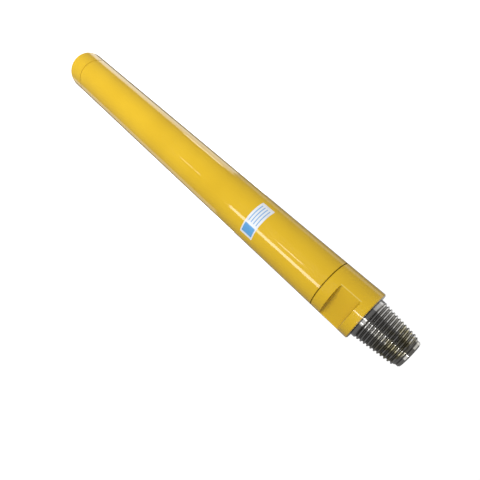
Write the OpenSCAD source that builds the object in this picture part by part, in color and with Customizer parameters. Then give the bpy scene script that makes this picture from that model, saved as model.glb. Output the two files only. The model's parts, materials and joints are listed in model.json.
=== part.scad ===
// Down-the-hole rock drilling hammer, without a drill bit, in millimetres.
// It stands on its chuck. Z runs along the axis, z = 0 is the chuck's lower face, and the threaded pin is on top.
// Joint threads are drawn as plain cylinders, and the pin's thread as rings with the thread's own section.

/* [Outer body] */
// Outside diameter of the chuck, wear sleeve and backhead
body_d = 101.6; // [98:0.2:112]
// Length of the chuck below the wear sleeve
chuck_len = 54; // [44:1:70]
// Length of the wear sleeve
sleeve_len = 846; // [820:1:900]
// Length of the backhead between the wear sleeve and the pin's shoulder
backhead_len = 83; // [76:1:110]
// Round on the lower edge of the chuck
chuck_edge_r = 5; // [2:0.5:7]
// Chamfer on each side of the two outer joints
seam_chamfer = 0.9; // [0.4:0.1:2]
// Chamfer on the edge of the pin's shoulder
shoulder_chamfer = 1.2; // [0.5:0.1:3]

/* [Wrench flats] */
// Distance across the two flats
flat_across = 70; // [64:0.5:80]
// Length of a flat along the axis
flat_len = 43; // [30:1:46]
// Distance from the wear sleeve to a flat
flat_offset = 22; // [14:1:28]
// Radius that the cutter leaves at both ends of a flat
flat_end_r = 5; // [2:0.5:8]

/* [Pin] */
// Length of the pin from its shoulder
pin_len = 88.9; // [76:0.1:100]
// Diameter of the thread crests, taken at the shoulder
pin_crest_d = 82.5; // [66:0.1:86]
// Loss of crest diameter for each millimetre of length
pin_taper = 0.25; // [0.1667:0.0001:0.25]
// Diameter of the plain band at the shoulder
pin_base_d = 80.4; // [66:0.1:85]
// Length of the plain band at the shoulder
pin_base_len = 7.5; // [6:0.5:12]
// Distance between two crests of the thread
pin_pitch = 6.35; // [5:0.05:8]
// Depth of the thread
pin_thread_depth = 2.8; // [1.5:0.1:3.4]
// Width of a thread root
pin_root_w = 1.3; // [0.6:0.1:2]
// Angle of the thread's flanks
pin_flank = 30; // [25:1:35]
// Length of the nose past the thread
pin_nose_len = 11; // [6:0.5:16]
// Diameter of the nose
pin_nose_d = 54; // [44:0.5:58]
// Length of the bevel from the thread to the nose
pin_bevel_len = 4.5; // [2:0.25:5]
// Chamfer on the end of the nose
pin_end_chamfer = 2; // [1:0.25:3]
// Diameter of the air bore
pin_bore_d = 28; // [22:0.5:34]

/* [Joint threads] */
// Length of the chuck's threaded spigot
chuck_spigot_len = 65; // [50:1:80]
// Length of the backhead's threaded spigot
backhead_spigot_len = 70; // [50:1:90]
// Length of the backhead's plain nose below its thread
backhead_nose_len = 25; // [18:1:35]
// Step in radius from the upper bore to the thread bores
thread_step = 2; // [1:0.25:2.5]
// Radial clearance of the spigots
thread_clear = 0.15; // [0.05:0.05:0.3]
// Length of the thread bore past the chuck's spigot
thread_runout = 5; // [2:0.5:10]
// Length of the undercut where a spigot meets its shoulder
relief_len = 6; // [3:0.5:9]
// Depth of that undercut
relief_depth = 2; // [1:0.25:3]

/* [Wear sleeve] */
// Wall round the bore in which the piston runs
sleeve_wall = 10.8; // [9:0.1:13]
// Width of the step that carries the inner cylinder
cylinder_seat_w = 2; // [1:0.25:3]
// Length of the air recess above the piston's land
recess_len = 40; // [20:1:60]
// Depth of the air recess
recess_depth = 2; // [1:0.25:3]
// Distance from the piston's land at rest to the recess
recess_gap = 6; // [3:1:20]
// Radial clearance of pieces that slide into the sleeve
slide_clear = 0.15; // [0.05:0.05:0.25]
// Radial clearance of running fits
run_clear = 0.08; // [0.05:0.01:0.1]

/* [Chuck splines] */
// Number of splines
spline_count = 8; // [6:1:12]
// Width of a spline
spline_w = 12; // [8:0.5:14]
// Height of a spline
spline_h = 5; // [3:0.25:7]
// Wall from the thread bore to the spline roots
chuck_wall = 10; // [8:0.25:12]
// Step in radius from the spline roots to the plain mouth that takes the bit's collar
mouth_step = 1.5; // [1:0.25:4]
// Length of the plain mouth
mouth_len = 12; // [8:1:25]
// Chamfer at the mouth and at the ends of the splines
lead_chamfer = 2; // [1:0.5:4]

/* [Bit retainer and guide bush] */
// Height of the split bit retainer
retainer_h = 22; // [16:1:30]
// Width of the bit retainer from the sleeve's bore to its own
retainer_w = 12; // [11:0.25:14]
// Gap between the two halves of the retainer
retainer_split = 0.8; // [0.4:0.1:1.6]
// Length of the guide bush
bush_len = 50; // [40:1:70]
// Wall of the guide bush from the sleeve's bore to its own
bush_wall = 11; // [9:0.25:13]
// Chamfer on the bores of the retainer and bush
bush_chamfer = 1.5; // [0.5:0.25:2.5]
// Thickness of the piston retaining ring
snap_h = 4; // [3:0.5:6]
// Depth of the groove for the piston retaining ring
snap_depth = 2.2; // [1.5:0.1:3]
// Reach of the piston retaining ring into the bore
snap_reach = 3; // [2:0.25:4]
// Width of the gap in the piston retaining ring
snap_gap = 14; // [8:1:24]

/* [Piston] */
// Travel of the piston
piston_travel = 130; // [100:1:140]
// Gap under the piston's land when it hangs on its retaining ring
rest_gap = 0.3; // [0.2:0.05:0.6]
// Distance from the bit retainer to the nose of the piston at rest
nose_gap = 24; // [10:1:30]
// Radial clearance of the nose in the guide bush
nose_clear = 0.5; // [0.3:0.05:1]
// Distance from the land to the inner cylinder at full travel
land_gap = 5; // [3:1:15]
// Distance from the tail to the air distributor at full travel
head_gap = 12; // [6:1:30]
// Through bore of the piston
piston_bore_d = 24; // [18:0.5:26]
// Bore in the nose for the tube of the bit
foot_bore_d = 34; // [28:0.5:38]
// Depth of the bore in the nose
foot_bore_len = 60; // [40:1:80]
// Length of the waist in the land
waist_len = 44; // [20:1:60]
// Depth of the waist in the land
waist_depth = 4; // [2:0.5:6]
// Number of ports from the waist to the bore
piston_port_count = 4; // [2:1:6]
// Diameter of the ports
piston_port_d = 9; // [5:0.5:12]
// Number of oil grooves at each end of the land
oil_groove_count = 3; // [1:1:4]
// Distance between oil grooves
oil_groove_pitch = 9; // [6:0.5:12]
// Width of an oil groove
oil_groove_w = 2; // [1:0.25:3]
// Depth of an oil groove
oil_groove_depth = 0.8; // [0.4:0.1:1.5]
// Chamfer on the edges of the piston
piston_chamfer = 2; // [1:0.25:3]

/* [Inner cylinder] */
// Width of the air passage between the sleeve and the skirt
passage_w = 5.5; // [4:0.25:7]
// Wall of the skirt
cylinder_wall = 4.5; // [3:0.25:5]
// Length of the skirt
cylinder_skirt_len = 170; // [140:1:185]
// Height of the flange on the sleeve's step
cylinder_flange_h = 28; // [20:1:40]
// Number of ports in the skirt
cylinder_port_count = 6; // [3:1:8]
// Diameter of the ports in the skirt
cylinder_port_d = 9; // [5:0.5:12]
// Height of the ports above the end of the skirt
cylinder_port_up = 90; // [60:1:130]

/* [Air distributor] */
// Height of the distributor's flange
distributor_h = 42; // [30:1:55]
// Length of the pilot in the inner cylinder
pilot_len = 16; // [12:1:24]
// Diameter of the boss that guides the check valve
boss_d = 34; // [30:0.5:38]
// Height of that boss
boss_len = 30; // [24:1:36]
// Number of air passages
supply_count = 6; // [4:1:8]
// Diameter of the air passages
supply_d = 6; // [4:0.25:8]
// Outside diameter of the feed tube
feed_tube_d = 30; // [26:0.5:32]
// Bore of the feed tube
feed_tube_bore_d = 16; // [12:0.5:20]
// Length of the feed tube in the piston at rest
tube_engage = 25; // [15:1:40]
// Depth that the piston's bore goes past the feed tube at full travel
tube_relief = 20; // [5:1:40]
// Number of ports near the end of the feed tube
tube_port_count = 4; // [2:1:6]
// Diameter of those ports
tube_port_d = 7; // [4:0.5:9]
// Height of those ports above the end of the feed tube
tube_port_up = 12; // [8:1:20]
// Thickness of the web over the feed tube
web_h = 12; // [8:0.5:16]
// Diameter of the choke plug
choke_plug_d = 9; // [7:0.5:10]
// Bore of the choke plug
choke_d = 4; // [2:0.5:5]

/* [Clamping stack] */
// Height of the make-up ring
make_up_h = 20; // [12:1:30]
// Width of the make-up ring and the disc springs from the sleeve's upper bore
stack_w = 14; // [12:0.25:16]
// Thickness of a disc spring
disc_t = 4.5; // [3:0.25:6]
// Cone height of a disc spring
disc_cone = 3; // [1.5:0.25:4]

/* [Check valve] */
// Width of the cone of the valve's head outside the air bore
valve_seat_w = 5.5; // [4.5:0.25:7]
// Width of the air passage round the valve's head
chamber_gap = 5.5; // [4:0.25:7]
// Length of the valve chamber up to its seat
chamber_len = 36; // [32:1:50]
// Gap between the closed valve and its seat
valve_seat_gap = 0.3; // [0.2:0.05:0.5]
// Travel of the valve
valve_travel = 12; // [6:0.5:14]
// Length of the head below its edge
valve_head_len = 16; // [10:0.5:18]
// Diameter of the stem
valve_stem_d = 22; // [20:0.5:25]
// Bore of the stem, which holds the spring
valve_stem_bore_d = 16; // [14:0.5:17]
// Length of the stem in the boss when the valve is closed
stem_engage = 10; // [6:0.5:12]
// Room left under the stem when the valve is open
stem_room = 6; // [3:0.5:10]
// Section of the seal ring in the cone of the head
valve_seal_d = 3; // [2:0.1:3.4]
// Wire of the spring
spring_wire_d = 2; // [1.2:0.1:2.4]
// Number of turns of the spring
spring_turns = 9; // [6:1:10]
// Radial clearance of the spring in the stem
spring_clear = 0.5; // [0.3:0.05:0.8]

/* [Seals] */
// Depth of the grooves for O-rings in the sleeve
body_gland = 3; // [2:0.25:3.25]
// Depth of the grooves for O-rings in the inner cylinder and distributor
small_gland = 2.4; // [1.8:0.1:3]
// Clearance round each O-ring
seal_clear = 0.1; // [0.05:0.01:0.2]

/* [Hidden] */

$fn = 96;
// Length by which cuts run past the faces that they open
over = 1;

// Colours
paint = "gold";
steel = "silver";
dark_steel = "dimgray";
bronze = "peru";
rubber = "#202020";
polymer = "ivory";

// Bores, from the outside in
sleeve_bore_d = body_d - 2 * sleeve_wall;
upper_bore_d = sleeve_bore_d + 2 * cylinder_seat_w;
thread_bore_d = upper_bore_d + 2 * thread_step;
spline_major_d = thread_bore_d - 2 * chuck_wall;
spline_minor_d = spline_major_d - 2 * spline_h;
mouth_d = spline_major_d + 2 * mouth_step;
retainer_bore_d = sleeve_bore_d - 2 * retainer_w;
bush_bore_d = sleeve_bore_d - 2 * bush_wall;
skirt_d = sleeve_bore_d - 2 * passage_w;
cylinder_bore_d = skirt_d - 2 * cylinder_wall;
stack_bore_d = upper_bore_d - 2 * stack_w;

// Diameters of what goes into those bores
spigot_d = thread_bore_d - 2 * thread_clear;
lower_fit_d = sleeve_bore_d - 2 * slide_clear;
upper_fit_d = upper_bore_d - 2 * slide_clear;
land_d = sleeve_bore_d - 2 * run_clear;
tail_d = cylinder_bore_d - 2 * run_clear;
nose_d = bush_bore_d - 2 * nose_clear;
pilot_d = cylinder_bore_d - 2 * slide_clear;
feed_bore_d = feed_tube_d + 2 * run_clear;
tube_socket_d = feed_tube_d + 2 * slide_clear;
stem_guide_d = valve_stem_d + 2 * run_clear;
valve_head_d = pin_bore_d + 2 * valve_seat_w;
chamber_d = valve_head_d + 2 * chamber_gap;
snap_groove_d = sleeve_bore_d + 2 * snap_depth;
snap_d = snap_groove_d - 2 * slide_clear;

// Heights from the chuck up to the piston
z_sleeve = chuck_len;
z_chuck_top = z_sleeve + chuck_spigot_len;
z_retainer_top = z_chuck_top + retainer_h;
z_bush_top = z_retainer_top + bush_len;
z_snap_top = z_bush_top + snap_h;

// Heights from the pin down to the inner cylinder
z_sleeve_top = z_sleeve + sleeve_len;
z_shoulder = z_sleeve_top + backhead_len;
z_pin_top = z_shoulder + pin_len;
z_spigot = z_sleeve_top - backhead_spigot_len;
z_backhead = z_spigot - backhead_nose_len;
z_discs = z_backhead - 2 * (disc_t + disc_cone);
z_distributor_top = z_discs - make_up_h;
z_distributor = z_distributor_top - distributor_h;
z_pilot = z_distributor - pilot_len;
z_step = z_distributor - cylinder_flange_h;
z_skirt = z_step - cylinder_skirt_len;

// Thread of the pin
z_thread = z_shoulder + pin_base_len;
z_thread_top = z_pin_top - pin_nose_len;
pin_groove_count = floor((z_thread_top - z_thread) / pin_pitch);
function pin_crest_r(z) = (pin_crest_d - pin_taper * (z - z_shoulder)) / 2;

// Heights of the piston at rest, hanging on its retaining ring
z_nose = z_retainer_top + nose_gap;
z_land = z_snap_top + rest_gap;
z_land_top = z_skirt - piston_travel - land_gap;
z_tail_top = z_pilot - piston_travel - head_gap;
z_waist = (z_land + z_land_top) / 2;
z_recess = z_land_top + recess_gap;

// Heights of the feed tube
z_tube = z_tail_top - tube_engage;
feed_bore_len = tube_engage + piston_travel + tube_relief;

// Heights of the closed check valve. Its seat and its head are cones of 45 degrees.
z_boss_top = z_distributor_top + boss_len;
z_stem = z_boss_top - stem_engage;
z_pocket = z_stem - valve_travel - stem_room;
z_web = z_pocket - web_h;
z_seat = z_backhead + chamber_len;
z_seat_top = z_seat + (chamber_d - pin_bore_d) / 2;
seat_drop = valve_seat_gap * sqrt(2);
z_valve_edge = z_seat + (chamber_d - valve_head_d) / 2 - seat_drop;
z_valve_head = z_valve_edge - valve_head_len;
valve_tip_d = pin_bore_d / 2;
z_valve_tip = z_valve_edge + (valve_head_d - valve_tip_d) / 2;

// Section and centre line of an O-ring between a bore and the bottom of a groove
function seal_section(bore, groove) = (bore - groove) / 2 - 2 * seal_clear;
function seal_mean_d(bore, groove) = (bore + groove) / 2;

// Grooves for O-rings, each with the bore that closes it
backhead_groove_d = upper_fit_d - 2 * body_gland;
distributor_groove_d = upper_fit_d - 2 * body_gland;
bush_groove_d = lower_fit_d - 2 * body_gland;
retainer_groove_d = lower_fit_d - 2 * body_gland;
pilot_groove_d = pilot_d - 2 * small_gland;
tube_groove_d = feed_tube_d - 2 * small_gland;
z_backhead_ring = z_backhead + backhead_nose_len / 2;
z_distributor_ring = z_distributor_top - distributor_h / 4;
z_bush_ring = z_retainer_top + bush_len / 2;
z_retainer_ring = z_chuck_top + retainer_h / 2;
z_pilot_ring = z_pilot + pilot_len / 2;
z_tube_ring = (z_pilot + z_web) / 2;

// Seal ring of the check valve, sunk into the cone of its head
valve_seal_inset = valve_seal_d / 2 + valve_seat_gap;
valve_seal_r = (valve_head_d + pin_bore_d) / 4;
z_valve_seal = z_seat_top + pin_bore_d / 2 - valve_seal_r - valve_seal_inset * sqrt(2);

// Air passages of the distributor and of the cylinder's flange
supply_top_r = (boss_d + stack_bore_d) / 4;
supply_r = (skirt_d + sleeve_bore_d) / 4;
supply_lean = atan2(supply_r - supply_top_r, distributor_h);
supply_len = norm([supply_r - supply_top_r, distributor_h]);
flange_port_d = (sleeve_bore_d - skirt_d) / 2 - slide_clear;

// Spring of the check valve
spring_len = z_valve_head - z_pocket;
spring_r = (valve_stem_bore_d - spring_wire_d) / 2 - spring_clear;
spring_steps = 20;
wire_sides = 8;
// Rise of a closed end turn, in wire diameters
closed_turn = 1.08;

// A plain hollow cylinder between two heights
module tube(outer, inner, low, high) {
    difference() {
        translate([0, 0, low]) cylinder(d = outer, h = high - low);
        translate([0, 0, low - over]) cylinder(d = inner, h = high - low + 2 * over);
    }
}

// A bore between two heights
module bore(d, low, high) {
    translate([0, 0, low]) cylinder(d = d, h = high - low);
}

// A conical bore between two heights
module cone(low_d, high_d, low, high) {
    translate([0, 0, low]) cylinder(d1 = low_d, d2 = high_d, h = high - low);
}

// A groove of a given width round a shaft
module groove(shaft, bottom, z, width) {
    tube(shaft + 2 * over, bottom, z - width / 2, z + width / 2);
}

// The groove for an O-ring round a shaft that goes into a bore
module ring_groove(shaft, bottom, closing_bore, z) {
    groove(shaft, bottom, z, seal_section(closing_bore, bottom) + 2 * seal_clear);
}

// The O-ring in such a groove
module o_ring(closing_bore, bottom, z) {
    color(rubber)
        rotate_extrude()
            translate([seal_mean_d(closing_bore, bottom) / 2, z])
                circle(d = seal_section(closing_bore, bottom));
}

// Removes the outer edge of a round face. A positive size cuts below z, a negative one above it.
module edge_cut(d, z, size) {
    rotate_extrude()
        polygon([
            [d / 2 - abs(size), z], [d / 2 - abs(size), z + size],
            [d / 2 + abs(size), z + size], [d / 2 + abs(size), z - size]
        ]);
}

// Radial holes, evenly spaced
module radial_ports(count, d, z, reach) {
    for (i = [0 : count - 1])
        rotate([0, 0, i * 360 / count])
            translate([0, 0, z]) rotate([0, 90, 0]) cylinder(d = d, h = reach);
}

module spline_tooth() {
    intersection() {
        translate([0, -spline_w / 2, mouth_len])
            cube([spline_major_d, spline_w, z_chuck_top - mouth_len]);
        difference() {
            bore(spline_major_d + over, mouth_len, z_chuck_top);
            bore(spline_minor_d, mouth_len - over, z_chuck_top + over);
            cone(spline_minor_d + 2 * lead_chamfer, spline_minor_d, mouth_len, mouth_len + lead_chamfer);
            cone(spline_minor_d, spline_minor_d + 2 * lead_chamfer, z_chuck_top - lead_chamfer, z_chuck_top);
        }
    }
}

module chuck_profile() {
    edge_x = body_d / 2 - chuck_edge_r;
    translate([edge_x, chuck_edge_r]) circle(r = chuck_edge_r);
    square([edge_x, z_sleeve]);
    translate([0, chuck_edge_r]) square([body_d / 2, z_sleeve - chuck_edge_r]);
    square([spigot_d / 2, z_chuck_top]);
}

module chuck() {
    color(paint) {
        difference() {
            rotate_extrude() chuck_profile();
            bore(spline_major_d, -over, z_chuck_top + over);
            bore(mouth_d, -over, mouth_len);
            cone(mouth_d + 2 * lead_chamfer, mouth_d, 0, lead_chamfer);
            edge_cut(body_d, z_sleeve, -seam_chamfer);
            edge_cut(spigot_d, z_chuck_top, -lead_chamfer);
            groove(spigot_d, spigot_d - 2 * relief_depth, z_sleeve + relief_len / 2, relief_len);
        }
        for (i = [0 : spline_count - 1])
            rotate([0, 0, i * 360 / spline_count]) spline_tooth();
    }
}

module wear_sleeve() {
    color(paint)
        difference() {
            bore(body_d, z_sleeve, z_sleeve_top);
            bore(sleeve_bore_d, z_sleeve - over, z_sleeve_top + over);
            bore(upper_bore_d, z_step, z_sleeve_top + over);
            bore(thread_bore_d, z_spigot, z_sleeve_top + over);
            bore(thread_bore_d, z_sleeve - over, z_chuck_top + thread_runout);
            bore(snap_groove_d, z_bush_top, z_snap_top);
            bore(sleeve_bore_d + 2 * recess_depth, z_recess, z_recess + recess_len);
            edge_cut(body_d, z_sleeve, seam_chamfer);
            edge_cut(body_d, z_sleeve_top, -seam_chamfer);
        }
}

// The cut of one wrench flat, on the +Y side
module flat_cut() {
    depth = body_d / 2;
    translate([-body_d / 2, flat_across / 2, z_sleeve_top + flat_offset]) {
        translate([0, 0, flat_end_r]) cube([body_d, depth, flat_len - 2 * flat_end_r]);
        translate([0, flat_end_r, 0]) cube([body_d, depth, flat_len]);
        for (z = [flat_end_r, flat_len - flat_end_r])
            translate([0, flat_end_r, z]) rotate([0, 90, 0]) cylinder(r = flat_end_r, h = body_d);
    }
}

// Section of one groove of the pin's thread, open past the crests
module pin_groove(z) {
    reach = pin_thread_depth + over;
    mouth_w = pin_root_w + 2 * reach * tan(pin_flank);
    translate([pin_crest_r(z) - pin_thread_depth, z])
        polygon([[0, -pin_root_w / 2], [reach, -mouth_w / 2], [reach, mouth_w / 2], [0, pin_root_w / 2]]);
}

// Half section of the pin: a plain band, the thread, a bevel and a plain nose
module pin_profile() {
    difference() {
        polygon([
            [0, z_shoulder - over], [pin_base_d / 2, z_shoulder - over],
            [pin_base_d / 2, z_thread], [pin_crest_r(z_thread), z_thread],
            [pin_crest_r(z_thread_top), z_thread_top], [pin_nose_d / 2, z_thread_top + pin_bevel_len],
            [pin_nose_d / 2, z_pin_top - pin_end_chamfer],
            [pin_nose_d / 2 - pin_end_chamfer, z_pin_top], [0, z_pin_top]
        ]);
        for (i = [0 : pin_groove_count - 1]) pin_groove(z_thread + (i + 0.5) * pin_pitch);
    }
}

module backhead() {
    color(paint)
        difference() {
            union() {
                bore(upper_fit_d, z_backhead, z_spigot);
                bore(spigot_d, z_spigot, z_sleeve_top);
                bore(body_d, z_sleeve_top, z_shoulder);
                rotate_extrude() pin_profile();
            }
            bore(chamber_d, z_backhead - over, z_seat);
            cone(chamber_d, pin_bore_d, z_seat, z_seat_top);
            bore(pin_bore_d, z_seat_top - over, z_pin_top + over);
            edge_cut(body_d, z_sleeve_top, seam_chamfer);
            edge_cut(body_d, z_shoulder, -shoulder_chamfer);
            edge_cut(upper_fit_d, z_backhead, lead_chamfer);
            groove(spigot_d, spigot_d - 2 * relief_depth, z_sleeve_top - relief_len / 2, relief_len);
            ring_groove(upper_fit_d, backhead_groove_d, upper_bore_d, z_backhead_ring);
            for (side = [0, 1]) mirror([0, side, 0]) flat_cut();
        }
}

module backhead_o_ring() {
    o_ring(upper_bore_d, backhead_groove_d, z_backhead_ring);
}

// Half section of the check valve: a domed head with a cone of 45 degrees, over a stem
module check_valve_profile() {
    polygon([
        [0, z_stem], [valve_stem_d / 2, z_stem],
        [valve_stem_d / 2, z_valve_head], [valve_head_d / 2 - lead_chamfer, z_valve_head],
        [valve_head_d / 2, z_valve_head + lead_chamfer], [valve_head_d / 2, z_valve_edge],
        [valve_tip_d / 2, z_valve_tip], [0, z_valve_tip]
    ]);
}

module check_valve() {
    color(polymer)
        difference() {
            rotate_extrude() check_valve_profile();
            bore(valve_stem_bore_d, z_stem - over, z_valve_head);
            rotate_extrude()
                translate([valve_seal_r, z_valve_seal]) circle(d = valve_seal_d + 2 * seal_clear);
        }
}

module check_valve_seal() {
    color(rubber)
        rotate_extrude() translate([valve_seal_r, z_valve_seal]) circle(d = valve_seal_d);
}

// Rise of the spring's wire after a number of turns. The first and last turns are closed.
function wire_rise(turn) =
    let (rise = spring_len - spring_wire_d, shut = closed_turn * spring_wire_d)
    turn < 1 ? shut * turn :
    turn > spring_turns - 1 ? rise - shut * (spring_turns - turn) :
    shut + (rise - 2 * shut) * (turn - 1) / (spring_turns - 2);

module check_valve_spring() {
    rings = spring_turns * spring_steps;
    points = [
        for (i = [0 : rings], j = [0 : wire_sides - 1])
            let (
                turn = i / spring_steps,
                side = j * 360 / wire_sides + 180 / wire_sides,
                r = spring_r + spring_wire_d / 2 * cos(side),
                z = z_pocket + spring_wire_d / 2 * (1 + sin(side)) + wire_rise(turn)
            )
            [r * cos(360 * turn), r * sin(360 * turn), z]
    ];
    skin = [
        for (i = [0 : rings - 1], j = [0 : wire_sides - 1], half = [0, 1])
            let (
                a = i * wire_sides + j,
                b = i * wire_sides + (j + 1) % wire_sides
            )
            half == 0 ? [a, b, b + wire_sides] : [a, b + wire_sides, a + wire_sides]
    ];
    first_end = [for (j = [wire_sides - 1 : -1 : 0]) j];
    last_end = [for (j = [0 : wire_sides - 1]) rings * wire_sides + j];
    color(steel) polyhedron(points, concat(skin, [first_end, last_end]));
}

// A conical spring washer that stands on its outer edge
module disc_spring() {
    rotate_extrude()
        polygon([
            [stack_bore_d / 2, disc_cone], [upper_fit_d / 2, 0],
            [upper_fit_d / 2, disc_t], [stack_bore_d / 2, disc_cone + disc_t]
        ]);
}

module disc_spring_upper() {
    color(dark_steel) translate([0, 0, z_backhead]) mirror([0, 0, 1]) disc_spring();
}

module disc_spring_lower() {
    color(dark_steel) translate([0, 0, z_discs]) disc_spring();
}

module make_up_ring() {
    color(steel)
        difference() {
            tube(upper_fit_d, stack_bore_d, z_distributor_top, z_discs);
            edge_cut(upper_fit_d, z_distributor_top, bush_chamfer);
        }
}

module air_distributor() {
    color(steel)
        difference() {
            union() {
                bore(upper_fit_d, z_distributor, z_distributor_top);
                bore(pilot_d, z_pilot, z_distributor);
                bore(boss_d, z_distributor_top, z_boss_top);
            }
            bore(stem_guide_d, z_pocket, z_boss_top + over);
            bore(choke_plug_d, z_web - over, z_pocket + over);
            bore(tube_socket_d, z_pilot - over, z_web);
            cone(pilot_d - 2 * small_gland, tube_socket_d, z_pilot - over, z_pilot + small_gland);
            for (i = [0 : supply_count - 1])
                rotate([0, 0, i * 360 / supply_count])
                    translate([supply_r, 0, z_distributor]) rotate([0, -supply_lean, 0])
                        bore(supply_d, -supply_d, supply_len + supply_d / 2);
            ring_groove(upper_fit_d, distributor_groove_d, upper_bore_d, z_distributor_ring);
            ring_groove(pilot_d, pilot_groove_d, cylinder_bore_d, z_pilot_ring);
        }
}

module distributor_o_ring() {
    o_ring(upper_bore_d, distributor_groove_d, z_distributor_ring);
}

module choke_plug() {
    color(bronze) tube(choke_plug_d - 2 * slide_clear, choke_d, z_web, z_pocket);
}

module feed_tube() {
    color(steel)
        difference() {
            tube(feed_tube_d, feed_tube_bore_d, z_tube, z_web);
            radial_ports(tube_port_count, tube_port_d, z_tube + tube_port_up, feed_tube_d);
            edge_cut(feed_tube_d, z_tube, lead_chamfer);
            ring_groove(feed_tube_d, tube_groove_d, tube_socket_d, z_tube_ring);
        }
}

module feed_tube_o_ring() {
    o_ring(tube_socket_d, tube_groove_d, z_tube_ring);
}

module inner_cylinder() {
    color(steel)
        difference() {
            union() {
                bore(upper_fit_d, z_step, z_distributor);
                bore(skirt_d, z_skirt, z_step + over);
            }
            bore(cylinder_bore_d, z_skirt - over, z_distributor + over);
            cone(cylinder_bore_d + 2 * lead_chamfer, cylinder_bore_d, z_skirt, z_skirt + lead_chamfer);
            edge_cut(skirt_d, z_skirt, bush_chamfer);
            radial_ports(cylinder_port_count, cylinder_port_d, z_skirt + cylinder_port_up, skirt_d);
            for (i = [0 : supply_count - 1])
                rotate([0, 0, i * 360 / supply_count])
                    translate([supply_r, 0, 0]) bore(flange_port_d, z_step - over, z_distributor + over);
        }
}

module inner_cylinder_o_ring() {
    o_ring(cylinder_bore_d, pilot_groove_d, z_pilot_ring);
}

module piston() {
    first_groove = piston_chamfer + oil_groove_pitch;
    color(steel)
        difference() {
            union() {
                bore(nose_d, z_nose, z_land);
                bore(land_d, z_land, z_land_top);
                bore(tail_d, z_land_top, z_tail_top);
            }
            bore(piston_bore_d, z_nose - over, z_tail_top);
            bore(foot_bore_d, z_nose - over, z_nose + foot_bore_len);
            cone(foot_bore_d, piston_bore_d, z_nose + foot_bore_len,
                z_nose + foot_bore_len + (foot_bore_d - piston_bore_d) / 2);
            bore(feed_bore_d, z_tail_top - feed_bore_len, z_tail_top + over);
            cone(feed_bore_d, feed_bore_d + 2 * lead_chamfer, z_tail_top - lead_chamfer, z_tail_top);
            groove(land_d, land_d - 2 * waist_depth, z_waist, waist_len);
            radial_ports(piston_port_count, piston_port_d, z_waist, land_d);
            for (i = [0 : oil_groove_count - 1], z = [
                z_land + first_groove + i * oil_groove_pitch,
                z_land_top - first_groove - i * oil_groove_pitch
            ])
                groove(land_d, land_d - 2 * oil_groove_depth, z, oil_groove_w);
            edge_cut(nose_d, z_nose, piston_chamfer);
            edge_cut(land_d, z_land_top, -piston_chamfer);
            edge_cut(tail_d, z_tail_top, -piston_chamfer);
        }
}

// A split spring ring in the sleeve's groove
module piston_retaining_ring() {
    color(dark_steel)
        difference() {
            tube(snap_d, sleeve_bore_d - 2 * snap_reach, z_bush_top, z_snap_top);
            translate([0, -snap_gap / 2, z_bush_top - over]) cube([snap_d, snap_gap, snap_h + 2 * over]);
        }
}

module guide_bush() {
    color(bronze)
        difference() {
            tube(lower_fit_d, bush_bore_d, z_retainer_top, z_bush_top);
            cone(bush_bore_d + 2 * bush_chamfer, bush_bore_d, z_retainer_top, z_retainer_top + bush_chamfer);
            cone(bush_bore_d, bush_bore_d + 2 * bush_chamfer, z_bush_top - bush_chamfer, z_bush_top);
            edge_cut(lower_fit_d, z_bush_top, -bush_chamfer);
            ring_groove(lower_fit_d, bush_groove_d, sleeve_bore_d, z_bush_ring);
        }
}

module guide_bush_o_ring() {
    o_ring(sleeve_bore_d, bush_groove_d, z_bush_ring);
}

// One half of the split ring that keeps the bit in the hammer, on the +X side
module bit_retainer_half() {
    difference() {
        tube(lower_fit_d, retainer_bore_d, z_chuck_top, z_retainer_top);
        cone(retainer_bore_d + 2 * bush_chamfer, retainer_bore_d, z_chuck_top, z_chuck_top + bush_chamfer);
        edge_cut(lower_fit_d, z_chuck_top, bush_chamfer);
        ring_groove(lower_fit_d, retainer_groove_d, sleeve_bore_d, z_retainer_ring);
        translate([retainer_split / 2 - lower_fit_d, -lower_fit_d / 2, z_chuck_top - over])
            cube([lower_fit_d, lower_fit_d, retainer_h + 2 * over]);
    }
}

module bit_retainer_left() {
    color(dark_steel) mirror([1, 0, 0]) bit_retainer_half();
}

module bit_retainer_right() {
    color(dark_steel) bit_retainer_half();
}

module bit_retainer_o_ring() {
    o_ring(sleeve_bore_d, retainer_groove_d, z_retainer_ring);
}

chuck();
wear_sleeve();
backhead();
backhead_o_ring();
check_valve();
check_valve_seal();
check_valve_spring();
disc_spring_upper();
disc_spring_lower();
make_up_ring();
air_distributor();
distributor_o_ring();
choke_plug();
feed_tube();
feed_tube_o_ring();
inner_cylinder();
inner_cylinder_o_ring();
piston();
piston_retaining_ring();
guide_bush();
guide_bush_o_ring();
bit_retainer_left();
bit_retainer_right();
bit_retainer_o_ring();
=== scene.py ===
import json
import math

import bmesh
import bpy
from mathutils import Matrix, Vector


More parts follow.
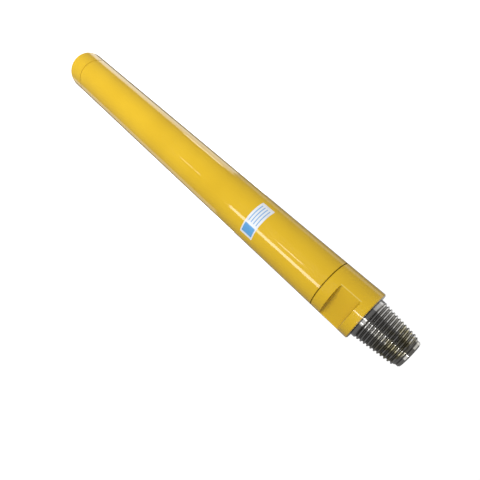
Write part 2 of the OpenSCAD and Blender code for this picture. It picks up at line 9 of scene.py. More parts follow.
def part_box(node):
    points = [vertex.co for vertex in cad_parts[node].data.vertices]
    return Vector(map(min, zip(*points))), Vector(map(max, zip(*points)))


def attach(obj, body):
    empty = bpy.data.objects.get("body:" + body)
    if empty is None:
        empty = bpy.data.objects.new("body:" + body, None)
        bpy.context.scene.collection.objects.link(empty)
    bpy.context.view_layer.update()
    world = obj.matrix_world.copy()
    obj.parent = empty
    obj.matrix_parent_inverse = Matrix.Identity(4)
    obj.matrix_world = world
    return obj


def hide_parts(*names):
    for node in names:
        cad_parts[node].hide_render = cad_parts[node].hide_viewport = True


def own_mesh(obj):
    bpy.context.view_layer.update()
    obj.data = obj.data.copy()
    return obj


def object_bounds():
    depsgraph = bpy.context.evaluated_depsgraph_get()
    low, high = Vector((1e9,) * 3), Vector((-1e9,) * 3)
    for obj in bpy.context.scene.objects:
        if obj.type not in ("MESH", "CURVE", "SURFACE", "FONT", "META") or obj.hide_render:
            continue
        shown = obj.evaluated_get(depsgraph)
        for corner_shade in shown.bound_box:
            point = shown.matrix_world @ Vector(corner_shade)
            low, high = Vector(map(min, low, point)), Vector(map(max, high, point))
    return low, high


# The looks of a down-the-hole hammer, in metres. The hammer stands on its chuck, and Z runs along its axis.
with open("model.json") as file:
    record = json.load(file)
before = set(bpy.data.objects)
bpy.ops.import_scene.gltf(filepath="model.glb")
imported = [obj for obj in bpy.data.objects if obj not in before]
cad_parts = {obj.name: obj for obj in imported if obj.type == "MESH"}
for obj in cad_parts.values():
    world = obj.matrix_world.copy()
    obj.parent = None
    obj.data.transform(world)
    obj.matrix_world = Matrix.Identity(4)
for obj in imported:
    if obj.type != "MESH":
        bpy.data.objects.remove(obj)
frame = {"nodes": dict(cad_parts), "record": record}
cad_low, cad_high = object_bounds()
record = frame["record"]
nodes = frame["nodes"]
MM = 0.001

# Sizes of the solids that the frame doesn't give
FLAT_OFFSET = 22 * MM
FLAT_LEN = 43 * MM
FLAT_END_R = 5 * MM
AIR_BORE_R = 14 * MM
CHUCK_MOUTH_R = 37.7 * MM

# Heights and radii of the solids
mounts = {mount["name"]: mount for mount in record["mounts"]}
sleeve_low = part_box("wear_sleeve")[0].z
sleeve_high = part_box("wear_sleeve")[1].z
body_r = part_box("backhead")[1].x
pin_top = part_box("backhead")[1].z
shoulder_z = mounts["shoulder_face"]["pos_m"][2]
band_r = mounts["pin_band"]["dims"]["r_mm"] * MM
band_len = mounts["pin_band"]["dims"]["length_mm"] * MM
flat_low = sleeve_high + FLAT_OFFSET
flat_high = flat_low + FLAT_LEN
flat_half = abs(mounts["wrench_flat_front"]["pos_m"][1])

# Camera, fitted to the outline of the hammer in the photograph
CAMERA_LENS = 27.43
CAMERA_SENSOR = 36
CAMERA_DISTANCE = 0.68471
CAMERA_HEIGHT = 1.01643
CAMERA_AZIMUTH = math.radians(-31.4)
CAMERA_PAN = 0.0787
CAMERA_TILT = 0.4248
CAMERA_ROLL = 2.3284


def side_point(angle, distance, height):
    """A point round the axis. The angle is in degrees from the camera's side, towards +X."""
    turn = CAMERA_AZIMUTH + math.radians(angle)
    return Vector((math.sin(turn) * distance, -math.cos(turn) * distance, height))


def make_camera():
    data = bpy.data.cameras.new("photo_camera")
    data.lens = CAMERA_LENS
    data.sensor_width = CAMERA_SENSOR
    data.clip_start = 0.01
    camera = bpy.data.objects.new("photo_camera", data)
    bpy.context.scene.collection.objects.link(camera)
    look = Matrix.Rotation(CAMERA_AZIMUTH - CAMERA_PAN, 4, "Z")
    look = look @ Matrix.Rotation(math.pi / 2 - CAMERA_TILT, 4, "X")
    look = look @ Matrix.Rotation(CAMERA_ROLL, 4, "Z")
    camera.matrix_world = Matrix.Translation(side_point(0, CAMERA_DISTANCE, CAMERA_HEIGHT)) @ look
    bpy.context.scene.camera = camera


# Node helpers
def new_material(name):
    material = bpy.data.materials.new(name)
    material.use_nodes = True
    return material, material.node_tree, material.node_tree.nodes["Principled BSDF"]


def add_node(tree, kind, inputs=None, **settings):
    """Adds a node. Each input is a socket to link or a value to set."""
    made = tree.nodes.new(kind)
    for name, value in settings.items():
        setattr(made, name, value)
    for name, value in (inputs or {}).items():
        if isinstance(value, bpy.types.NodeSocket):
            tree.links.new(value, made.inputs[name])
        else:
            made.inputs[name].default_value = value
    return made


def math_node(tree, operation, first, second=0.0, third=0.0):
    made = add_node(tree, "ShaderNodeMath", {0: first, 1: second, 2: third}, operation=operation)
    return made.outputs[0]


def ramp(tree, value, low, high, from_value=0.0, to_value=1.0):
    """A value that goes smoothly from one number to another between two limits."""
    made = add_node(
        tree, "ShaderNodeMapRange",
        {"Value": value, "From Min": low, "From Max": high, "To Min": from_value, "To Max": to_value},
        interpolation_type="SMOOTHSTEP",
    )
    return made.outputs["Result"]


def mix_colour(tree, factor, first, second):
    made = add_node(tree, "ShaderNodeMix", {0: factor, 6: first, 7: second}, data_type="RGBA")
    return made.outputs[2]


def noise(tree, vector, scale, detail):
    made = add_node(
        tree, "ShaderNodeTexNoise",
        {"Vector": vector, "Scale": scale, "Detail": detail, "Roughness": 0.55},
    )
    return made.outputs["Fac"]


def place(tree):
    """The position on the object, its x, y and z, and its distance from the axis."""
    position = add_node(tree, "ShaderNodeTexCoord").outputs["Object"]
    parts = add_node(tree, "ShaderNodeSeparateXYZ", {0: position}).outputs
    across = math_node(tree, "POWER", parts[0], 2.0)
    along = math_node(tree, "POWER", parts[1], 2.0)
    radius = math_node(tree, "SQRT", math_node(tree, "ADD", across, along))
    return position, parts, radius


def apart(tree, value, spot):
    """The distance between a value and a fixed spot."""
    return math_node(tree, "ABSOLUTE", math_node(tree, "SUBTRACT", value, spot))


def within(tree, value, low, high):
    """1 between two limits and 0 outside them, with a narrow blur."""
    blur = 0.1 * MM
    above = ramp(tree, value, low - blur, low + blur)
    below = ramp(tree, value, high - blur, high + blur, 1.0, 0.0)
    return math_node(tree, "MULTIPLY", above, below)


def ring_position(tree, parts, radius):
    """A position that is the same all round the axis, for turning marks."""
    return add_node(tree, "ShaderNodeCombineXYZ", {0: radius, 1: 0.0, 2: parts[2]}).outputs[0]


def bump(tree, shader, height, distance):
    made = add_node(tree, "ShaderNodeBump", {"Height": height, "Distance": distance, "Strength": 1.0})
    tree.links.new(made.outputs[0], shader.inputs["Normal"])


def colour(red, green, blue):
    return (red, green, blue, 1.0)


# Materials, with linear colours, noise scales for each metre and real depths
FAR_SEAM_FILTH = 0.35
NEAR_SEAM_FILTH = 1.0
PAINT_FAR_LIMIT = 2.0
SEAM_LAP = 0.5 * MM
SHOULDER_LAP = 0.2 * MM
SLEEVE_PAINT_DEPTH = 4 * MM
BACKHEAD_PAINT_R = 30 * MM


def mark_flats(tree, parts, radius, paint):
    """Adds painted shade in the round ends of the wrench flats, and painted highlights along their long
    edges.
    """
    half_y = math_node(tree, "ABSOLUTE", parts[1])
    # Painted highlight: a light yellow line along each long edge of the flats, where a rounded paint edge
    # would catch the light.
    edge = ramp(tree, apart(tree, half_y, flat_half), 0.3 * MM, 0.9 * MM, 0.55, 0.0)
    edge = math_node(tree, "MULTIPLY", edge, ramp(tree, radius, body_r - 1.2 * MM, body_r - 0.5 * MM))
    # Painted shade: the sunk round ends of the flats are mixed towards dark brown.
    sunk = ramp(tree, math_node(tree, "SUBTRACT", body_r, radius), 0.1 * MM, 0.6 * MM)
    for end, side in ((flat_low, 1), (flat_high, -1)):
        inside = ramp(tree, parts[2], end - side * MM, end + side * MM)
        edge = math_node(tree, "MULTIPLY", edge, inside)
        near_end = ramp(tree, apart(tree, parts[2], end), MM, FLAT_END_R, 0.5, 0.0)
        corner_shade = math_node(tree, "MULTIPLY", sunk, near_end)
        paint = mix_colour(tree, corner_shade, paint, colour(0.40, 0.23, 0.008))
    return mix_colour(tree, edge, paint, colour(0.98, 0.76, 0.20))


def mark_seams(tree, parts, cloud, paint):
    """Adds dirt in the two seams. Returns the paint and how soiled it is."""
    soiled = 0.0
    for seam, filth in ((sleeve_low, FAR_SEAM_FILTH), (sleeve_high, NEAR_SEAM_FILTH)):
        line = ramp(tree, apart(tree, parts[2], seam), 0.7 * MM, 1.4 * MM, filth, 0.0)
        dirt = math_node(tree, "MULTIPLY", line, ramp(tree, cloud, 0.2, 0.5, 0.6, 1.0))
        paint = mix_colour(tree, dirt, paint, colour(0.20, 0.115, 0.003))
        soiled = math_node(tree, "MAXIMUM", dirt, soiled)
    return paint, soiled


def paint_material(name, inner_r, low, high):
    """Glossy yellow enamel outside a radius and between two heights, over turned steel everywhere else."""
    material, tree, shader = new_material(name)
    position, parts, radius = place(tree)
    rings = ring_position(tree, parts, radius)
    outside = within(tree, radius, inner_r, PAINT_FAR_LIMIT)
    painted = math_node(tree, "MULTIPLY", outside, within(tree, parts[2], low, high))
    broad = noise(tree, position, 7.0, 2.0)
    cloud = noise(tree, position, 60.0, 4.0)
    grain = noise(tree, rings, 900.0, 4.0)
    peel = math_node(tree, "MULTIPLY", noise(tree, position, 260.0, 2.0), 0.2)
    deep_yellow = colour(0.79, 0.492, 0.012)
    light_yellow = colour(0.84, 0.532, 0.016)
    yellow = mix_colour(tree, ramp(tree, broad, 0.3, 0.7), deep_yellow, light_yellow)
    shade = ramp(tree, cloud, 0.55, 0.85, 0.0, 0.12)
    yellow = mix_colour(tree, shade, yellow, colour(0.68, 0.42, 0.012))
    yellow = mark_flats(tree, parts, radius, yellow)
    yellow, soiled = mark_seams(tree, parts, cloud, yellow)
    dark_steel = colour(0.30, 0.29, 0.27)
    light_steel = colour(0.52, 0.51, 0.48)
    steel = mix_colour(tree, ramp(tree, grain, 0.3, 0.7), dark_steel, light_steel)
    tree.links.new(mix_colour(tree, painted, steel, yellow), shader.inputs["Base Color"])
    gloss = math_node(tree, "MULTIPLY_ADD", soiled, 0.6, ramp(tree, cloud, 0.3, 0.8, 0.15, 0.18))
    turned = ramp(tree, grain, 0.2, 0.8, 0.24, 0.42)
    rough = add_node(tree, "ShaderNodeMix", {0: painted, 2: turned, 3: gloss}).outputs[0]
    tree.links.new(rough, shader.inputs["Roughness"])
    tree.links.new(math_node(tree, "SUBTRACT", 1.0, painted), shader.inputs["Metallic"])
    shine = math_node(tree, "MULTIPLY_ADD", soiled, -0.12, 0.15)
    tree.links.new(shine, shader.inputs["Specular IOR Level"])
    coat = math_node(tree, "MULTIPLY", painted, math_node(tree, "SUBTRACT", 1.0, soiled))
    tree.links.new(coat, shader.inputs["Coat Weight"])
    shader.inputs["Coat Roughness"].default_value = 0.06
    shader.inputs["Coat IOR"].default_value = 1.8
    height = add_node(tree, "ShaderNodeMix", {0: painted, 2: grain, 3: peel}).outputs[0]
    bump(tree, shader, height, 0.004 * MM)
    return material


def metal_material(name, dark, light, rough_low, rough_high, marks, depth):
    """Turned metal with marks round the axis and a patchy tone."""
    material, tree, shader = new_material(name)
    position, parts, radius = place(tree)
    grain = noise(tree, ring_position(tree, parts, radius), marks, 4.0)
    patch = noise(tree, position, 45.0, 4.0)
    tone = math_node(tree, "MULTIPLY_ADD", grain, 0.6, math_node(tree, "MULTIPLY", patch, 0.4))
    tree.links.new(mix_colour(tree, ramp(tree, tone, 0.3, 0.7), dark, light), shader.inputs["Base Color"])
    tree.links.new(ramp(tree, patch, 0.25, 0.75, rough_low, rough_high), shader.inputs["Roughness"])
    shader.inputs["Metallic"].default_value = 1.0
    bump(tree, shader, grain, depth)
    return material


def pin_material():
    """Bright turned steel with an olive oil film towards the nose, dirt and painted shade in the thread
    roots, and painted shade in the corners at the shoulder and the nose.
    """
    material, tree, shader = new_material("pin_steel")
    position, parts, radius = place(tree)
    grain = noise(tree, ring_position(tree, parts, radius), 1500.0, 4.0)
    patch = noise(tree, position, 70.0, 4.0)
    fine = noise(tree, position, 500.0, 3.0)
    up = math_node(tree, "SUBTRACT", parts[2], shoulder_z)
    crest = math_node(tree, "MULTIPLY_ADD", up, -CREST_SLOPE, CREST_R)
    deep = ramp(tree, math_node(tree, "SUBTRACT", crest, radius), 0.15 * MM, 0.6 * THREAD_DEPTH)
    thread_len = pin_top - NOSE_LEN - shoulder_z
    deep = math_node(tree, "MULTIPLY", deep, ramp(tree, up, band_len, band_len + MM))
    deep = math_node(tree, "MULTIPLY", deep, ramp(tree, up, thread_len, thread_len + 2 * MM, 1.0, 0.0))
    dark_steel = colour(0.50, 0.49, 0.47)
    light_steel = colour(0.74, 0.73, 0.70)
    steel = mix_colour(tree, ramp(tree, grain, 0.25, 0.75), dark_steel, light_steel)
    film = math_node(tree, "MULTIPLY", ramp(tree, up, 20 * MM, 60 * MM), ramp(tree, patch, 0.42, 0.58))
    film = math_node(tree, "MULTIPLY", film, ramp(tree, up, thread_len, thread_len + 4 * MM, 1.0, 0.25))
    steel = mix_colour(tree, math_node(tree, "MULTIPLY", film, 0.75), steel, colour(0.42, 0.37, 0.17))
    # Dirt and painted shade: the thread roots are darkened with their depth, patchy by noise.
    shade_and_grime = math_node(tree, "MULTIPLY", deep, ramp(tree, fine, 0.2, 0.6, 0.4, 0.7))
    # Painted shade: dark lines in the corner at the shoulder and where the nose's bevel meets the plain
    # nose.
    foot_shade = ramp(tree, up, 0.8 * MM, 2.4 * MM, 0.85, 0.0)
    nose_shade = ramp(tree, apart(tree, up, thread_len + BEVEL_LEN), 0.6 * MM, 1.8 * MM, 0.8, 0.0)
    shade_and_grime = math_node(tree, "MAXIMUM", shade_and_grime, math_node(tree, "MAXIMUM", foot_shade, nose_shade))
    steel = mix_colour(tree, shade_and_grime, steel, colour(0.06, 0.055, 0.045))
    tree.links.new(steel, shader.inputs["Base Color"])
    smooth = math_node(tree, "MULTIPLY_ADD", deep, 0.22, ramp(tree, fine, 0.2, 0.8, 0.08, 0.12))
    tree.links.new(smooth, shader.inputs["Roughness"])
    shader.inputs["Metallic"].default_value = 1.0
    bump(tree, shader, grain, 0.012 * MM)
    return material


def rubber_material():
    material, tree, shader = new_material("seal_rubber")
    position = place(tree)[0]
    bloom = noise(tree, position, 120.0, 4.0)
    pores = noise(tree, position, 1800.0, 2.0)
    black = colour(0.014, 0.014, 0.015)
    grey = colour(0.045, 0.045, 0.047)
    tree.links.new(mix_colour(tree, ramp(tree, bloom, 0.45, 0.8), black, grey), shader.inputs["Base Color"])
    tree.links.new(ramp(tree, bloom, 0.3, 0.8, 0.45, 0.7), shader.inputs["Roughness"])
    bump(tree, shader, pores, 0.03 * MM)
    return material


def polymer_material():
    material, tree, shader = new_material("valve_polymer")
    position, parts, radius = place(tree)
    stain = noise(tree, position, 90.0, 4.0)
    grain = noise(tree, ring_position(tree, parts, radius), 1200.0, 3.0)
    ivory = colour(0.74, 0.70, 0.58)
    brown = colour(0.52, 0.45, 0.30)
    tree.links.new(mix_colour(tree, ramp(tree, stain, 0.5, 0.85), ivory, brown), shader.inputs["Base Color"])
    tree.links.new(ramp(tree, grain, 0.3, 0.7, 0.35, 0.5), shader.inputs["Roughness"])
    shader.inputs["Subsurface Weight"].default_value = 0.1
    shader.inputs["Subsurface Radius"].default_value = (0.002, 0.0016, 0.001)
    bump(tree, shader, grain, 0.02 * MM)
    return material


def label_material():
    """White film with a plain blue field and ruled lines, laid out in the label's own coordinates."""
    material, tree, shader = new_material("label_film")
    spot = add_node(tree, "ShaderNodeTexCoord").outputs["UV"]
    parts = add_node(tree, "ShaderNodeSeparateXYZ", {0: spot}).outputs
    position = add_node(tree, "ShaderNodeTexCoord").outputs["Object"]
    fibre = noise(tree, position, 700.0, 3.0)
    stain = noise(tree, position, 55.0, 4.0)
    clean_white = colour(0.84, 0.87, 0.90)
    dull_white = colour(0.72, 0.75, 0.78)
    white = mix_colour(tree, ramp(tree, stain, 0.45, 0.8), clean_white, dull_white)
    deep_blue = colour(0.10, 0.36, 0.72)
    light_blue = colour(0.14, 0.42, 0.78)
    blue = mix_colour(tree, ramp(tree, fibre, 0.3, 0.7), deep_blue, light_blue)

    def band(value, middle, half):
        return ramp(tree, apart(tree, value, middle), half - 0.1 * MM, half + 0.1 * MM, 1.0, 0.0)

    field = math_node(tree, "MULTIPLY", band(parts[0], LABEL_FIELD, LABEL_FIELD_HALF),
                      band(parts[1], 0.0, LABEL_HALF_H - LABEL_MARGIN))
    inked = field
    for height in LABEL_LINES:
        line = math_node(tree, "MULTIPLY", band(parts[1], height, LABEL_LINE_HALF),
                         band(parts[0], LABEL_LINE_MIDDLE, LABEL_LINE_REACH))
        inked = math_node(tree, "MAXIMUM", inked, line)
    tree.links.new(mix_colour(tree, inked, white, blue), shader.inputs["Base Color"])
    tree.links.new(ramp(tree, fibre, 0.2, 0.8, 0.28, 0.40), shader.inputs["Roughness"])
    shader.inputs["Coat Weight"].default_value = 0.4
    shader.inputs["Coat Roughness"].default_value = 0.12
    bump(tree, shader, fibre, 0.01 * MM)
    return material


# Mesh helpers
WELD = 0.001 * MM


def new_piece(name, mesh, material, body):
    """Links a mesh as a piece with one material, and rides it on a body."""
    mesh.materials.clear()
    mesh.materials.append(material)
    piece = bpy.data.objects.new(name, mesh)
    bpy.context.scene.collection.objects.link(piece)
    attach(piece, body)
    return piece


def mesh_from(name, points, faces):
    mesh = bpy.data.meshes.new(name)
    mesh.from_pydata(points, [], faces)
    return mesh


def tidy_mesh(mesh, merge, sharp):
    """Merges points, drops what has no area, turns the faces outwards and marks the sharp edges."""
    made = bmesh.new()
    made.from_mesh(mesh)
    bmesh.ops.remove_doubles(made, verts=made.verts, dist=merge)
    bmesh.ops.dissolve_degenerate(made, dist=merge / 10, edges=made.edges)
    bmesh.ops.recalc_face_normals(made, faces=made.faces)
    for face in made.faces:
        face.smooth = True
    for edge in made.edges:
        edge.smooth = len(edge.link_faces) == 2 and edge.calc_face_angle() < sharp
    made.to_mesh(mesh)
    made.free()


# Limits by which exact_normals tells faces apart
CLOSE = 0.02 * MM
ROUND_TURN = math.radians(8)


def spread(values):
    return max(values) - min(values)


def exact_normals(mesh):
    """Gives turned faces, flat faces and the round ends of the flats the normals of their true surfaces."""
    normals = []
    for face in mesh.polygons:
        corners = [mesh.vertices[mesh.loops[loop].vertex_index].co for loop in face.loop_indices]
        radii = [math.hypot(spot.x, spot.y) for spot in corners]
        slope = Vector((face.normal.x, face.normal.y, 0))
        out = Vector((face.center.x, face.center.y, 0))
        side = math.copysign(slope.length, slope.dot(out))
        cone = [r * side + spot.z * face.normal.z for r, spot in zip(radii, corners)]
        level = spread([spot.z for spot in corners]) < CLOSE
        on_flat = max(abs(abs(spot.y) - flat_half) for spot in corners) < CLOSE
        faces_out = abs(slope.normalized().dot(out.normalized())) > math.cos(ROUND_TURN)
        if level or on_flat:
            normals += [face.normal.copy() for spot in corners]
        elif spread(radii) < CLOSE and faces_out:
            way = math.copysign(1, side)
            normals += [Vector((spot.x, spot.y, 0)).normalized() * way for spot in corners]
        elif spread(cone) < CLOSE:
            rise = Vector((0, 0, face.normal.z))
            normals += [Vector((spot.x, spot.y, 0)).normalized() * side + rise for spot in corners]
        else:
            low_end = face.center.z < (flat_low + flat_high) / 2
            axis_z = flat_low + FLAT_END_R if low_end else flat_high - FLAT_END_R
            axis_y = math.copysign(flat_half + FLAT_END_R, face.center.y)
            normals += [Vector((0, axis_y - spot.y, axis_z - spot.z)).normalized() for spot in corners]
    mesh.normals_split_custom_set(normals)


# The pin: a thread with four turns to the inch and a taper of 1 in 4 on the diameter, and a plain nose
THREAD_PITCH = 6.35 * MM
THREAD_DEPTH = 2.8 * MM
CREST_R = 41.25 * MM
CREST_SLOPE = 0.125
NOSE_LEN = 11 * MM
NOSE_R = 27 * MM
BEVEL_LEN = 4.5 * MM
END_CHAMFER = 2 * MM
BORE_CHAMFER = 1.5 * MM
BAND_CHAMFER = 0.4 * MM
THREAD_RUN_IN = 0.35 * THREAD_PITCH
PIN_SIDES = 160
# Height above the shoulder at which the painted part of the backhead ends and the pin starts
SHOULDER_SKIN = 0.02 * MM
# Half of the thread's section: distance from the middle of the crest, and depth below it, in millimetres
THREAD_SECTION = ((0.0, 0.0), (0.60, 0.0), (0.80, 0.05), (0.96, 0.22), (2.30, 2.55), (2.54, 2.74))
THREAD_ROOT = (3.175, 2.8)


def thread_rows():
    """Rows of one pitch: distance along the pitch from a crest, and depth."""
    rising = [(x * MM, depth * MM) for x, depth in THREAD_SECTION]
    falling = [(THREAD_PITCH - x, depth) for x, depth in reversed(rising[1:])]
    return rising + [(THREAD_ROOT[0] * MM, THREAD_ROOT[1] * MM)] + falling


def crest_radius(z):
    return CREST_R - CREST_SLOPE * (z - shoulder_z)


def pin_surface(z, depth):
    """Radius of the pin at a height: the thread, run out at the band and cut off by the nose's bevel."""
    thread_start = shoulder_z + band_len
    nose_start = pin_top - NOSE_LEN
    start = min(max((z - thread_start) / THREAD_RUN_IN, 0.0), 1.0)
    radius = crest_radius(z) - depth * start
    if z > nose_start:
        bevel = min((z - nose_start) / BEVEL_LEN, 1.0)
        radius = min(radius, crest_radius(nose_start) * (1 - bevel) + NOSE_R * bevel)
    return max(radius, NOSE_R)


def pin_ring(row):
    """Points round the axis. The row gives a radius and a height at each angle."""
    spots = []
    for j in range(PIN_SIDES):
        angle = 2 * math.pi * j / PIN_SIDES
        r, z = row(angle)
        spots.append((r * math.cos(angle), r * math.sin(angle), z))
    return spots


def make_pin(material):
    """The bare pin: a plain band, a right-hand thread, a bevelled nose and the air bore."""
    foot = shoulder_z + SHOULDER_SKIN
    thread_start = shoulder_z + band_len
    thread_end = pin_top - NOSE_LEN + BEVEL_LEN
    faces = []

    def plain(r, z):
        return lambda angle: (r, z)

    def helix(rise, depth):
        def row(angle):
            z = thread_start - THREAD_PITCH + rise + THREAD_PITCH * angle / (2 * math.pi)
            z = min(max(z, thread_start), thread_end)
            return pin_surface(z, depth), z
        return row

    turns = math.ceil((thread_end - thread_start) / THREAD_PITCH) + 1
    section = thread_rows()
    helix_rows = []
    for turn in range(turns):
        helix_rows += [helix(turn * THREAD_PITCH + rise, depth) for rise, depth in section]
    points = [spot for row in helix_rows for spot in pin_ring(row)]
    per_turn = len(section)
    for i in range(len(helix_rows) - 1):
        for j in range(PIN_SIDES):
            last = j == PIN_SIDES - 1
            shift = per_turn if last else 0
            right = 0 if last else j + 1
            low = i + shift
            if low + 1 >= len(helix_rows):
                continue
            faces.append((
                i * PIN_SIDES + j, low * PIN_SIDES + right,
                (low + 1) * PIN_SIDES + right, (i + 1) * PIN_SIDES + j,
            ))
    around = [
        plain(NOSE_R, thread_end), plain(NOSE_R, pin_top - END_CHAMFER),
        plain(NOSE_R - END_CHAMFER, pin_top),
        plain(AIR_BORE_R + BORE_CHAMFER, pin_top), plain(AIR_BORE_R, pin_top - BORE_CHAMFER),
        plain(AIR_BORE_R, foot), plain(band_r, foot),
        plain(band_r, thread_start - BAND_CHAMFER), plain(band_r - BAND_CHAMFER, thread_start),
        plain(crest_radius(thread_start), thread_start),
    ]
    base = len(points)
    points += [spot for row in around for spot in pin_ring(row)]
    for i in range(len(around) - 1):
        for j in range(PIN_SIDES):
            right = (j + 1) % PIN_SIDES
            faces.append((
                base + i * PIN_SIDES + j, base + i * PIN_SIDES + right,
                base + (i + 1) * PIN_SIDES + right, base + (i + 1) * PIN_SIDES + j,
            ))
    mesh = mesh_from("threaded_pin", points, faces)
    tidy_mesh(mesh, merge=2 * WELD, sharp=math.radians(35))
    pin = new_piece("threaded_pin", mesh, material, "casing")
    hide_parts("backhead")


def make_backhead_body(material):
    """The painted part of the backhead, cut from its solid at the pin's shoulder."""
    mesh = nodes["backhead"].data.copy()
    stored_normals = mesh.attributes.get("custom_normal")
    if stored_normals:
        mesh.attributes.remove(stored_normals)
    made = bmesh.new()
    made.from_mesh(mesh)
    bmesh.ops.remove_doubles(made, verts=made.verts, dist=WELD)
    cut = bmesh.ops.bisect_plane(
        made, geom=made.verts[:] + made.edges[:] + made.faces[:], dist=WELD,
        plane_co=(0, 0, shoulder_z + SHOULDER_SKIN), plane_no=(0, 0, 1), clear_outer=True,
    )
    rim = [edge for edge in cut["geom_cut"] if isinstance(edge, bmesh.types.BMEdge)]
    bmesh.ops.bridge_loops(made, edges=rim)
    made.to_mesh(mesh)
    made.free()
    tidy_mesh(mesh, merge=WELD, sharp=math.radians(30))
    exact_normals(mesh)
    body = new_piece("backhead_body", mesh, material, "casing")
    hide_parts("backhead")


# The label: a thin film round part of the sleeve, with its own coordinates in metres from its middle
LABEL_LOW = 707.5 * MM
LABEL_HIGH = 740 * MM
LABEL_ANGLE = 2.75
LABEL_HALF_ANGLE = math.radians(43.75)
LABEL_CORNER = 2 * MM
LABEL_LIFT = 0.02 * MM
LABEL_SKIN = 0.18 * MM
LABEL_COLUMNS = 64
LABEL_ROWS = 28
LABEL_HALF_H = (LABEL_HIGH - LABEL_LOW) / 2
LABEL_HALF_W = body_r * LABEL_HALF_ANGLE
LABEL_MARGIN = 3 * MM
LABEL_FIELD = 24 * MM
LABEL_FIELD_HALF = 10 * MM
LABEL_LINES = (-10 * MM, -3.3 * MM, 3.3 * MM, 10 * MM)
LABEL_LINE_HALF = 0.9 * MM
LABEL_LINE_MIDDLE = -12 * MM
LABEL_LINE_REACH = 20 * MM


def make_label(material):
    middle_z = (LABEL_LOW + LABEL_HIGH) / 2
    middle = CAMERA_AZIMUTH + math.radians(LABEL_ANGLE)
    points = []
    spots = []
    for skin in (LABEL_LIFT, LABEL_SKIN):
        r = body_r + skin
        for i in range(LABEL_ROWS + 1):
            height = LABEL_HALF_H * math.sin(math.pi * (i / LABEL_ROWS - 0.5))
            into = max(LABEL_CORNER - (LABEL_HALF_H - abs(height)), 0.0)
            inset = LABEL_CORNER - math.sqrt(LABEL_CORNER ** 2 - into ** 2)
            for j in range(LABEL_COLUMNS + 1):
                across = (LABEL_HALF_W - inset) * (2 * j / LABEL_COLUMNS - 1)
                turn = middle + across / body_r
                points.append((r * math.sin(turn), -r * math.cos(turn), middle_z + height))
                spots.append((across, height))
    across_count = LABEL_COLUMNS + 1
    layer = across_count * (LABEL_ROWS + 1)
    faces = []
    for i in range(LABEL_ROWS):
        for j in range(LABEL_COLUMNS):
            a = i * across_count + j
            b = a + across_count
            faces.append((a, a + 1, b + 1, b))
            faces.append((layer + a, layer + b, layer + b + 1, layer + a + 1))
    rim = list(range(across_count))
    rim += [i * across_count + LABEL_COLUMNS for i in range(1, LABEL_ROWS + 1)]
    rim += [LABEL_ROWS * across_count + j for j in range(LABEL_COLUMNS - 1, -1, -1)]
    rim += [i * across_count for i in range(LABEL_ROWS - 1, 0, -1)]
    for a, b in zip(rim, rim[1:] + rim[:1]):
        faces.append((a, b, layer + b, layer + a))
    mesh = mesh_from("label", points, faces)
    uv = mesh.uv_layers.new(name="label_uv")
    for loop in mesh.loops:
        uv.data[loop.index].uv = spots[loop.vertex_index]
    tidy_mesh(mesh, merge=WELD, sharp=math.radians(60))
    new_piece("label", mesh, material, "casing")


# The check valve's spring: a round wire with closed ends, between the distributor and the valve's head
SPRING_TURNS = 9
SPRING_STEPS = 40
WIRE_SIDES = 16
WIRE_R = 1.0 * MM
CLOSED_RISE = 2.16 * MM


def make_spring(material):
    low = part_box("check_valve_spring")[0].z
    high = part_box("check_valve_spring")[1].z
    coil_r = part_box("check_valve_spring")[1].x - WIRE_R
    rise = high - low - 2 * WIRE_R
    points = []
    rings = SPRING_TURNS * SPRING_STEPS
    for i in range(rings + 1):
        turn = i / SPRING_STEPS
        if turn < 1:
            up = CLOSED_RISE * turn
        elif turn > SPRING_TURNS - 1:
            up = rise - CLOSED_RISE * (SPRING_TURNS - turn)
        else:
            up = CLOSED_RISE + (rise - 2 * CLOSED_RISE) * (turn - 1) / (SPRING_TURNS - 2)
        angle = 2 * math.pi * turn
        for j in range(WIRE_SIDES):
            side = 2 * math.pi * j / WIRE_SIDES
            r = coil_r + WIRE_R * math.cos(side)
            z = low + WIRE_R * (1 + math.sin(side)) + up
            points.append((r * math.cos(angle), r * math.sin(angle), z))
    faces = []
    for i in range(rings):
        for j in range(WIRE_SIDES):
            right = (j + 1) % WIRE_SIDES
            a = i * WIRE_SIDES
            b = a + WIRE_SIDES
            faces.append((a + j, a + right, b + right, b + j))
    faces.append(tuple(reversed(range(WIRE_SIDES))))
    faces.append(tuple(rings * WIRE_SIDES + j for j in range(WIRE_SIDES)))
    mesh = mesh_from("valve_coil", points, faces)
    tidy_mesh(mesh, merge=WELD, sharp=math.radians(50))
    coil = new_piece("valve_coil", mesh, material, "casing")
    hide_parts("check_valve_spring")
    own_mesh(coil)


# Materials of the solids
def dress_solids(materials):
    for part in record["subparts"]:
        node = nodes[part["node"]]
        look = part["node"] if part["node"] in materials else part["material_slot"]
        node.data.materials.clear()
        node.data.materials.append(materials[look])


# Stage and light
FLOOR_R = 12.0
FLOOR_DROP = 0.05 * MM
FLOOR_GLOW = 0.86
ROOM_TONE = colour(0.42, 0.42, 0.43)
REFLECTED_TONE = colour(0.17, 0.17, 0.175)
SEEN_TONE = colour(1.05, 1.05, 1.05)
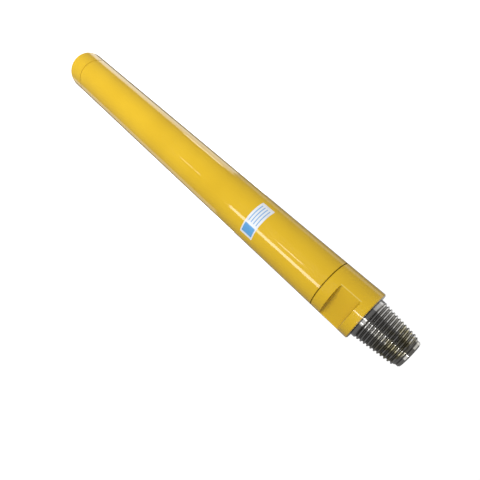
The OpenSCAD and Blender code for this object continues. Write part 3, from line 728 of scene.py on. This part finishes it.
# Each light: name, degrees from the camera's side, distance from the axis, ends, width and radiance
REFLECTED_LIGHTS = (
    ("key_strip", 34, 0.5, 0.41, 0.815, 0.10, 3.5),
    ("pin_strip", 13, 1.0, 0.86, 1.3, 0.06, 6.5),
    ("short_strip", 12, 1.0, 0.45, 0.60, 0.06, 3.2),
    ("low_strip", 18, 0.5, 0.12, 0.24, 0.03, 1.8),
    ("side_card", -112, 0.6, -1.0, 0.25, 0.4, 1.05),
    ("pin_second_strip", 38, 0.9, 0.94, 1.06, 0.03, 8.0),
    ("pin_card", 33, 1.2, 0.92, 1.9, 0.7, 0.8),
    ("pin_side_card", -90, 1.2, 0.92, 1.9, 1.9, 0.6),
    ("pin_limb_card", -150, 0.8, 1.0, 1.6, 0.8, 0.5),
    ("back_card", 180, 1.0, -0.8, 1.8, 2.0, 0.05),
    ("lower_card", 120, 0.6, -1.0, 0.3, 0.3, 0.43),
    ("line_strip", -92, 0.6, -0.05, 0.20, 0.03, 5.0),
    ("limb_card", -116, 0.6, 0.25, 1.2, 0.2, 0.38),
)
FILL_LIGHTS = (
    ("front_fill", 5, 1.4, 0.0, 0.95, 1.2, 3.5),
    ("near_fill", 5, 1.2, 1.0, 1.5, 0.8, 0.5),
    ("back_fill", 180, 1.4, 0.0, 1.2, 1.0, 3.0),
    ("far_fill", 8, 0.5, 0.0, 0.1, 0.8, 4.2),
)


def make_stage():
    bpy.context.scene.view_settings.view_transform = "Standard"
    material, tree, shader = new_material("stage_floor")
    position = add_node(tree, "ShaderNodeTexCoord").outputs["Object"]
    paper = noise(tree, position, 40.0, 3.0)
    pale = mix_colour(tree, paper, colour(0.86, 0.86, 0.86), colour(0.88, 0.88, 0.88))
    tree.links.new(pale, shader.inputs["Base Color"])
    shader.inputs["Roughness"].default_value = 0.9
    shader.inputs["Specular IOR Level"].default_value = 0.1
    shader.inputs["Emission Color"].default_value = colour(1.0, 1.0, 1.0)
    shader.inputs["Emission Strength"].default_value = FLOOR_GLOW
    made = bmesh.new()
    bmesh.ops.create_circle(made, cap_ends=True, segments=96, radius=FLOOR_R)
    mesh = bpy.data.meshes.new("floor")
    made.to_mesh(mesh)
    made.free()
    mesh.materials.append(material)
    floor = bpy.data.objects.new("floor", mesh)
    floor.location.z = cad_low.z - FLOOR_DROP
    floor.visible_glossy = False
    floor.visible_diffuse = False
    bpy.context.scene.collection.objects.link(floor)


def make_world():
    """A dim room that the camera sees as plain white and that is darker in reflections."""
    world = bpy.data.worlds.new("studio")
    bpy.context.scene.world = world
    world.use_nodes = True
    tree = world.node_tree
    rays = add_node(tree, "ShaderNodeLightPath").outputs
    shade = mix_colour(tree, rays["Is Glossy Ray"], ROOM_TONE, REFLECTED_TONE)
    shade = mix_colour(tree, rays["Is Camera Ray"], shade, SEEN_TONE)
    tree.links.new(shade, tree.nodes["Background"].inputs["Color"])


def make_light(name, angle, distance, low, high, width, radiance, glossy, diffuse):
    """An upright soft light that faces the axis. The camera doesn't see it."""
    data = bpy.data.lights.new(name, "AREA")
    data.shape = "RECTANGLE"
    data.size = width
    data.size_y = high - low
    data.energy = radiance * math.pi * width * (high - low)
    light = bpy.data.objects.new(name, data)
    light.location = side_point(angle, distance, (low + high) / 2)
    light.rotation_euler = (math.pi / 2, 0, CAMERA_AZIMUTH + math.radians(angle))
    light.visible_camera = False
    light.visible_glossy = glossy
    light.visible_diffuse = diffuse
    bpy.context.scene.collection.objects.link(light)


def make_lights():
    for row in REFLECTED_LIGHTS:
        make_light(*row, glossy=True, diffuse=False)
    for row in FILL_LIGHTS:
        make_light(*row, glossy=False, diffuse=True)


make_camera()
chuck_paint_high = sleeve_low + SEAM_LAP
sleeve_paint_r = body_r - SLEEVE_PAINT_DEPTH
backhead_paint_low = sleeve_high - SEAM_LAP
backhead_paint_high = shoulder_z - SHOULDER_LAP
materials = {
    "chuck": paint_material("chuck_paint", CHUCK_MOUTH_R, -PAINT_FAR_LIMIT, chuck_paint_high),
    "wear_sleeve": paint_material("sleeve_paint", sleeve_paint_r, -PAINT_FAR_LIMIT, PAINT_FAR_LIMIT),
    "backhead": paint_material(
        "backhead_paint", BACKHEAD_PAINT_R, backhead_paint_low, backhead_paint_high),
    "bare_steel": metal_material(
        "bare_steel", colour(0.36, 0.35, 0.33), colour(0.60, 0.59, 0.56), 0.24, 0.40, 1100.0, 0.02 * MM),
    "ground_steel": metal_material(
        "ground_steel", colour(0.46, 0.47, 0.49), colour(0.63, 0.64, 0.66), 0.14, 0.26, 2600.0, 0.006 * MM),
    "spring_steel": metal_material(
        "spring_steel", colour(0.09, 0.095, 0.11), colour(0.24, 0.25, 0.28), 0.30, 0.48, 700.0, 0.015 * MM),
    "bronze": metal_material(
        "bronze", colour(0.42, 0.24, 0.09), colour(0.66, 0.42, 0.18), 0.22, 0.38, 1000.0, 0.02 * MM),
    "seal_rubber": rubber_material(),
    "valve_polymer": polymer_material(),
    "label_film": label_material(),
}
dress_solids(materials)
make_backhead_body(materials["backhead"])
make_pin(pin_material())
make_label(materials["label_film"])
make_spring(materials["spring_steel"])
make_stage()
make_world()
make_lights()
